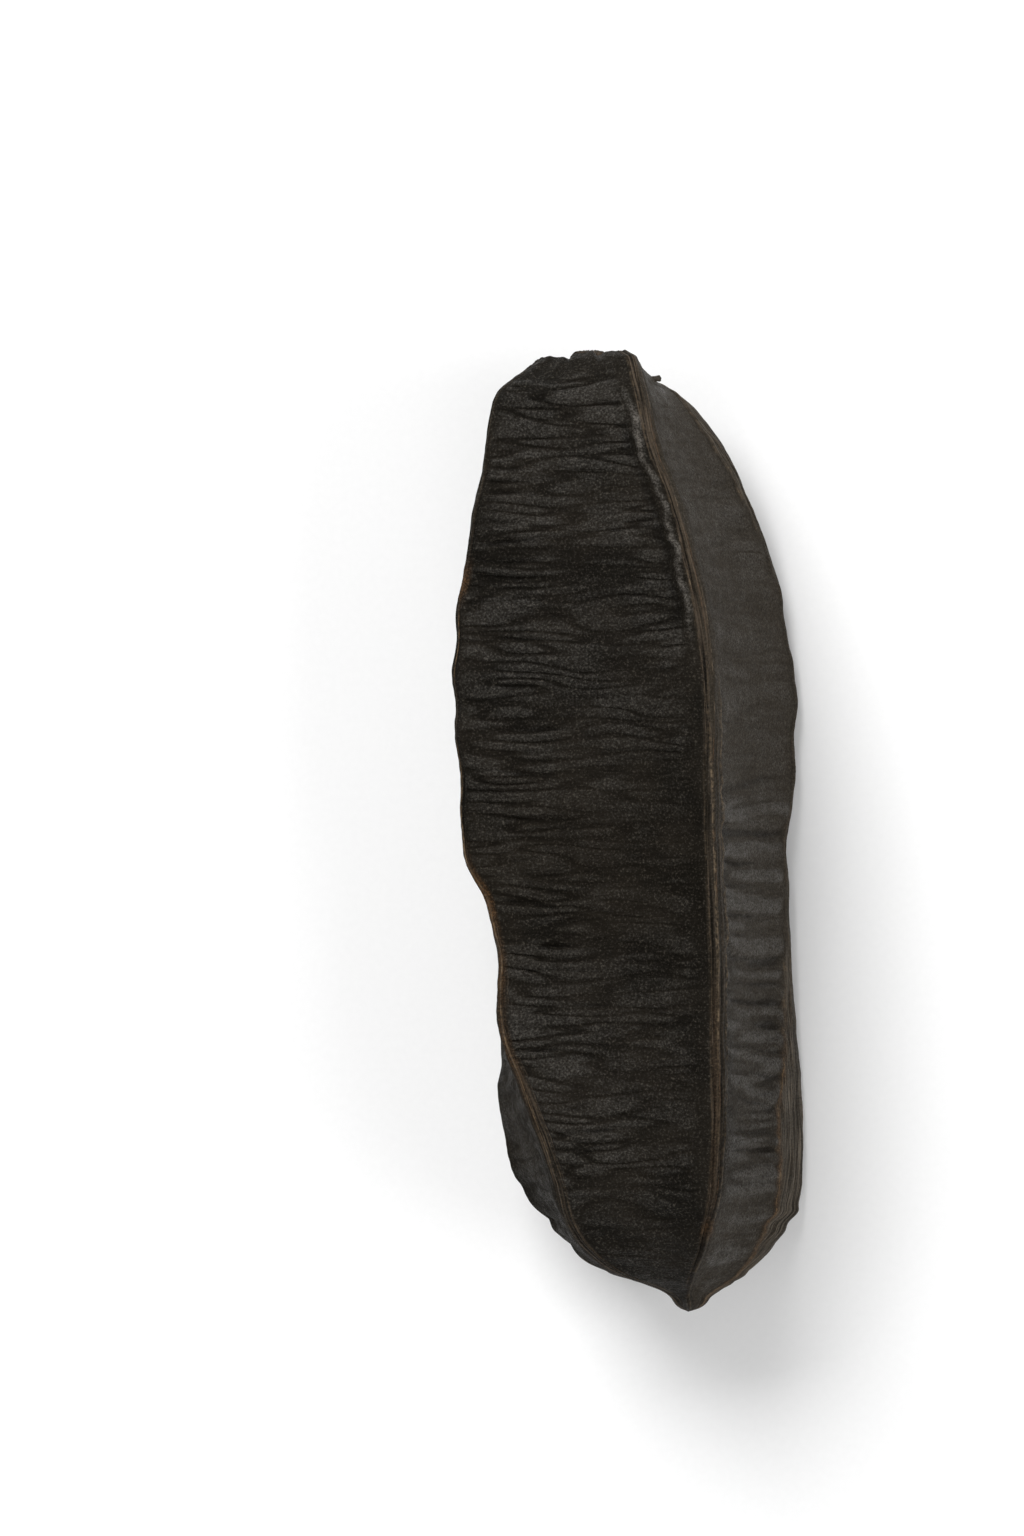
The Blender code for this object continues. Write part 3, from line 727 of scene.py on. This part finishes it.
split = skin.fit(skin.noise(mm, 1.1, 4, 0.7), 0.38, 0.62)
colour = skin.mix(skin.value("wood"), colour, skin.mix(split, FIBRE_DARK, STALK_WOOD))
# Painted shade: sharp creases where the folds' wave crosses zero, and the marked creases and grooves, are
# painted nearly black
sharp_crease_shade = skin.maths("MULTIPLY", skin.fit(fold_wave, 0.0, 0.10, 0.38, 0.0), folded)
dark = skin.maths("MAXIMUM", skin.maths("MULTIPLY", skin.value("painted_shade"), 0.5), sharp_crease_shade)
colour = skin.mix(dark, colour, PAINTED_CREASE_SHADE)
roughness = skin.fit(skin.noise(mm, 0.35, 3, 0.6), 0.35, 0.65, 0.38, 0.56)
# The painted-highlight mask also sets how glossy the skin is
gloss = skin.maths("MULTIPLY", painted_highlight, skin.fit(specks, 0.35, 0.65, 0.4, 1.0))
gloss = skin.fit(gloss, 0.03, 0.5, 0.025, 0.34)
gloss = skin.maths("MULTIPLY", gloss, skin.value("gloss_and_highlight"))
fibre_height = skin.maths("MULTIPLY", skin.maths("MULTIPLY", streaks, skin.value("brown")), 0.35)
pillow_height = skin.maths("MULTIPLY", skin.maths("MULTIPLY", pillow, fold_height), 0.35)
normal = skin.bump(skin.maths("ADD", fibre_height, pillow_height), 1 / MM, 1.0)
normal = skin.bump(puckers, 0.00065, 0.9, normal)
normal = skin.bump(skin.noise(mm, 2.0, 4, 0.7), 0.00042, 0.9, normal)
pod_skin_finish = skin.close(colour, roughness, normal, gloss)
pod_mesh.materials.append(pod_skin_finish)
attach(pod, "root")
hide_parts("pod")


# The loose fibres. Along the wing edges the skin has worn through, and single woody strands stand
# out of it. Each one grows in the edge, comes up for a stretch and sinks back into the skin.
# Each strand: wing, how far past its edge in millimetres, first and last share of the length,
# radius in millimetres, how much of it shows, and its colour
TAN, BROWN, RUSTY, GOLDEN = range(4)
STRANDS = (
    (FRONT, main_line, 0.03, 0.40, 0.060, 0.50, BROWN),
    (FRONT, main_line, 0.40, 0.67, 0.065, 0.72, TAN),
    (FRONT, main_line, 0.68, 0.905, 0.055, 0.45, BROWN),
    (FRONT, -0.55 * front_band, 0.02, 0.88, 0.055, 0.42, BROWN),
    (FRONT, -0.70 * front_band, 0.30, 0.90, 0.050, 0.34, BROWN),
    (FRONT, 0.20 * front_band, 0.03, 0.985, 0.045, 0.34, BROWN),
    (FRONT, 0.60 * front_band, 0.06, 0.89, 0.055, 0.38, RUSTY),
    (FRONT, 0.90 * front_band, 0.02, 0.40, 0.055, 0.42, TAN),
    (FRONT, front_seam, 0.42, 0.66, 0.065, 0.60, TAN),
    (LEFT, 0.25, 0.22, 0.84, 0.060, 0.58, GOLDEN),
    (LEFT, 0.80, 0.58, 0.96, 0.050, 0.38, BROWN),
    (LEFT, 1.70, 0.64, 0.95, 0.045, 0.34, BROWN),
    (LEFT, -0.30, 0.50, 0.66, 0.060, 0.85, RUSTY),
    (RIGHT, -right_rim, 0.02, 0.66, 0.055, 0.50, BROWN),
    (RIGHT, -right_rim, 0.66, 0.97, 0.060, 0.55, GOLDEN),
    (RIGHT, -0.85 * right_rim, 0.30, 0.95, 0.055, 0.42, BROWN),
    (RIGHT, -0.65 * right_rim, 0.06, 0.95, 0.060, 0.45, BROWN),
    (RIGHT, -0.40 * right_rim, 0.06, 0.93, 0.060, 0.50, BROWN),
    (RIGHT, -0.15 * right_rim, 0.10, 0.93, 0.060, 0.40, TAN),
    (RIGHT, 0.80, 0.08, 0.94, 0.065, 0.40, BROWN),
    (BACK, -0.50, 0.08, 0.94, 0.080, 0.45, BROWN),
    (BACK, 0.80, 0.12, 0.92, 0.075, 0.40, TAN),
)
STRAND_SIDES = 6
STRAND_LIFT = 0.25
SHORTEST_STRETCH_ROWS = 5
TAPER_END = 0.04


def strand_finish(name, dark, light):
    """Dry woody fibre, lighter and darker in short lengths."""
    finish = Finish(name)
    mm = finish.place(MM)
    lengths = finish.noise(mm, 1.3, 4, 0.7)
    colour = finish.mix(finish.fit(lengths, 0.38, 0.62), dark, light)
    normal = finish.bump(finish.noise(mm, 5.0, 3, 0.6), 0.0001, 0.5)
    return finish.close(colour, finish.fit(lengths, 0.3, 0.7, 0.55, 0.75), normal, 0.12)


strand_finishes = (
    strand_finish("tan_fibre", (0.026, 0.020, 0.0145), (0.165, 0.124, 0.083)),
    strand_finish("brown_fibre", (0.017, 0.0132, 0.0096), (0.082, 0.061, 0.043)),
    strand_finish("rusty_fibre", (0.022, 0.0145, 0.0092), (0.100, 0.060, 0.034)),
    strand_finish("golden_fibre", (0.026, 0.0175, 0.0105), (0.200, 0.128, 0.066)),
)
skin_normal = skin_normals(place)


def along_edge(wing, offset_mm, values):
    """The grid's values on a line that keeps its distance from a wing edge, one for each body row."""
    before = np.flatnonzero(web == (wing - 1) % 4)
    after = np.flatnonzero(web == wing)
    line = []
    for row in range(CAP_ROW_COUNT, rows):
        places = np.concatenate([-to_go[row, before], run[row, after]])
        picked = np.concatenate([values[row, before], values[row, after]])
        at = offset_mm[row - CAP_ROW_COUNT]
        line.append([np.interp(at, places, picked[:, axis]) for axis in range(3)])
    return np.array(line)


def strand_pieces(number, wing, offset_mm, start, end, radius_mm, showing):
    """Centre points, normals and radii of each stretch of a strand that shows."""
    body_share = share[CAP_ROW_COUNT:, 0]
    body_down = down_mm[CAP_ROW_COUNT:, 0]
    aim = np.broadcast_to(offset_mm, share.shape)[CAP_ROW_COUNT:, 0]
    wander = aim + 0.30 * grain(body_down / 13, 6.1 * number, 0.9)
    centre = along_edge(wing, wander, place)
    outward = along_edge(wing, wander, skin_normal)
    up = showing - 0.5 + 1.1 * grain(body_down / 9, 4.7 * number, 8.8)
    up = up + 0.5 * grain(body_down / 3, 2.9 * number, 6.6)
    up = np.where((body_share > start) & (body_share < end), up, -1)
    edges = np.flatnonzero(np.diff(np.concatenate([[0], up > 0, [0]]).astype(int)))
    for a, b in edges.reshape(-1, 2):
        if b - a < SHORTEST_STRETCH_ROWS:
            continue
        taper = np.sqrt(np.sin(np.linspace(TAPER_END, pi - TAPER_END, b - a)))
        thick = radius_mm / MM * taper * (1 + 0.5 * grain(body_down[a:b] / 1.7, number, 5.5))
        rise = thick * (STRAND_LIFT + 1.1 * grain(body_down[a:b] / 5, number, 3.3))
        yield centre[a:b] + outward[a:b] * rise[:, None], outward[a:b], thick


def tube(centres, outward, thick):
    """A closed tube of rings round the centre points."""
    ahead = np.gradient(centres, axis=0)
    ahead /= np.linalg.norm(ahead, axis=1, keepdims=True)
    sideways = np.cross(ahead, outward)
    sideways /= np.linalg.norm(sideways, axis=1, keepdims=True)
    upright = np.cross(sideways, ahead)
    angles = np.arange(STRAND_SIDES) * 2 * pi / STRAND_SIDES
    rings = centres[:, None] + thick[:, None, None] * (
        np.cos(angles)[None, :, None] * upright[:, None] + np.sin(angles)[None, :, None] * sideways[:, None]
    )
    count = len(centres)
    at = np.arange(count * STRAND_SIDES).reshape(count, STRAND_SIDES)
    beside = np.roll(at, -1, axis=1)
    faces = np.stack([at[:-1], beside[:-1], beside[1:], at[1:]], axis=2).reshape(-1, 4).tolist()
    return rings.reshape(-1, 3), [*faces, at[0][::-1].tolist(), at[-1].tolist()]


for number, (wing, offset_mm, start, end, radius_mm, showing, tint) in enumerate(STRANDS):
    points, faces = [], []
    for centres, outward, thick in strand_pieces(number, wing, offset_mm, start, end, radius_mm, showing):
        ring_points, ring_faces = tube(centres, outward, thick)
        faces += [[corner + len(points) for corner in face] for face in ring_faces]
        points += ring_points.tolist()
    strand_mesh = bpy.data.meshes.new(f"edge_strand_{number + 1}")
    strand_mesh.from_pydata(points, [], faces)
    strand_mesh.shade_smooth()
    strand_mesh.materials.append(strand_finishes[tint])
    strand = bpy.data.objects.new(f"edge_strand_{number + 1}", strand_mesh)
    bpy.context.scene.collection.objects.link(strand)
    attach(strand, "root")


# The shoulder chip. A broken flake of the rim's dry wood that stands up beside the front wing, with
# a squarish end. It is split on three sides and still holds to the skin at its foot.
CHIP_ACROSS, CHIP_UP = 0.0039, 0.0757
CHIP_WIDTH, CHIP_HEIGHT, CHIP_THICKNESS = 1.25, 1.9, 0.6
CHIP_ROOT = 0.7
CHIP_LEAN = np.array((0.97, 0.10, 0.12))
CHIP_SQUARENESS = 0.6
seen = (place - shift) @ lie
miss = np.hypot(seen[:, :, 0] - CHIP_ACROSS, seen[:, :, 1] - CHIP_UP) + np.where(narrow_web, 0, 1)
chip_row, chip_column = np.unravel_index(np.argmin(miss), miss.shape)
chip_foot = place[chip_row, chip_column]
chip_up = lie @ CHIP_LEAN
chip_up = chip_up / np.linalg.norm(chip_up)
chip_side = np.cross(chip_up, lie @ np.array((0, 0, 1.0)))
chip_side /= np.linalg.norm(chip_side)
chip_face = np.cross(chip_side, chip_up)
chip_points, chip_faces = [], []
CHIP_RINGS, CHIP_CORNERS = 9, 12
for ring in range(CHIP_RINGS):
    up = ring / (CHIP_RINGS - 1)
    wide = CHIP_WIDTH / 2 * (0.75 + 0.35 * up**3 + 0.12 * noise.noise((up * 3, 2.5, 1.5)))
    wide = wide * (1 - 0.25 * up**12)
    thick = CHIP_THICKNESS / 2 * (1.5 - 0.7 * up) * (1 - 0.5 * up**8)
    for corner in range(CHIP_CORNERS):
        angle = corner * 2 * pi / CHIP_CORNERS
        across = np.sign(cos(angle)) * abs(cos(angle)) ** CHIP_SQUARENESS * wide
        deep = np.sign(sin(angle)) * abs(sin(angle)) ** CHIP_SQUARENESS * thick
        rough = 0.07 * noise.noise((corner * 1.7, up * 5, 6.5))
        height = CHIP_HEIGHT * up - CHIP_ROOT + 0.25 * noise.noise((across * 2.3, 8.5, 1.0)) * up
        at = chip_foot + ((across + rough) * chip_side + deep * chip_face + height * chip_up) / MM
        chip_points.append(at.tolist())
for ring in range(CHIP_RINGS - 1):
    for corner in range(CHIP_CORNERS):
        a, b = ring * CHIP_CORNERS + corner, ring * CHIP_CORNERS + (corner + 1) % CHIP_CORNERS
        chip_faces.append((a, b, b + CHIP_CORNERS, a + CHIP_CORNERS))
chip_faces.append(list(range(CHIP_CORNERS))[::-1])
chip_faces.append([(CHIP_RINGS - 1) * CHIP_CORNERS + corner for corner in range(CHIP_CORNERS)])
chip_mesh = bpy.data.meshes.new("shoulder_chip")
chip_mesh.from_pydata(chip_points, [], chip_faces)
chip_mesh.materials.append(strand_finish("chip_wood", (0.022, 0.0180, 0.0140), (0.066, 0.055, 0.042)))
chip = bpy.data.objects.new("shoulder_chip", chip_mesh)
bpy.context.scene.collection.objects.link(chip)
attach(chip, "root")


# The floor. A plain pale surface, evenly lit, that the pod lies on
FLOOR_SIZE = 6.0
bpy.ops.mesh.primitive_plane_add(size=FLOOR_SIZE, location=(0, 0, cad_box_low.z))
floor = bpy.context.object
floor.name = "floor"
floor_finish = Finish("pale_floor")
floor_grain = floor_finish.noise(floor_finish.place(MM), 0.8, 3, 0.6)
floor.data.materials.append(floor_finish.close(
    floor_finish.mix(floor_grain, (0.86, 0.86, 0.86), (0.90, 0.90, 0.90)), 0.85,
    floor_finish.bump(floor_grain, 0.00005, 0.2), 0.2,
))


# The light. A large soft light rakes from beyond the stem end and a little from the left. Weak ones
# stand low on the other sides, so that the dark skin mirrors none of them to the viewer
def soft_light(name, place, size, power):
    """A square light that faces the pod and isn't itself seen."""
    lamp = bpy.data.lights.new(name, "AREA")
    lamp.size = size
    lamp.energy = power
    light = bpy.data.objects.new(name, lamp)
    light.location = place
    light.rotation_euler = (-Vector(place)).to_track_quat("-Z", "Y").to_euler()
    light.visible_camera = False
    bpy.context.scene.collection.objects.link(light)


soft_light("key_light", (-0.40, 1.25, 1.10), 1.1, 33)
soft_light("left_light", (-1.60, -0.20, 0.80), 0.9, 3)
soft_light("right_light", (1.50, -0.20, 0.90), 0.9, 15)
soft_light("near_light", (0.10, -1.50, 1.00), 0.9, 8)
world = bpy.data.worlds.new("pale_room")
world.use_nodes = True
world.node_tree.nodes["Background"].inputs["Color"].default_value = (1, 1, 1, 1)
world.node_tree.nodes["Background"].inputs["Strength"].default_value = 0.29
bpy.context.scene.world = world
bpy.context.scene.view_settings.view_transform = "Standard"


# The camera looks straight down on the pod's front, at the angle of the photograph, from far enough
# that the pod's own depth hardly changes its outline
PICTURE_HEIGHT = 0.2571
LENS, SENSOR = 300, 36
PICTURE_MIDDLE = Vector((-0.0201, 0.0104, 0))
camera_data = bpy.data.cameras.new("camera")
camera_data.lens = LENS
camera_data.sensor_width = SENSOR
camera_data.clip_end = 20
camera = bpy.data.objects.new("camera", camera_data)
turned = Matrix.Rotation(PITCH, 4, "X") @ Matrix.Rotation(ROLL, 4, "Y")
distance = PICTURE_HEIGHT * LENS / SENSOR
camera.matrix_world = (
    Matrix.Translation(Vector(shift)) @ turned @ Matrix.Translation(PICTURE_MIDDLE + Vector((0, 0, distance)))
)
bpy.context.scene.collection.objects.link(camera)
bpy.context.scene.camera = camera
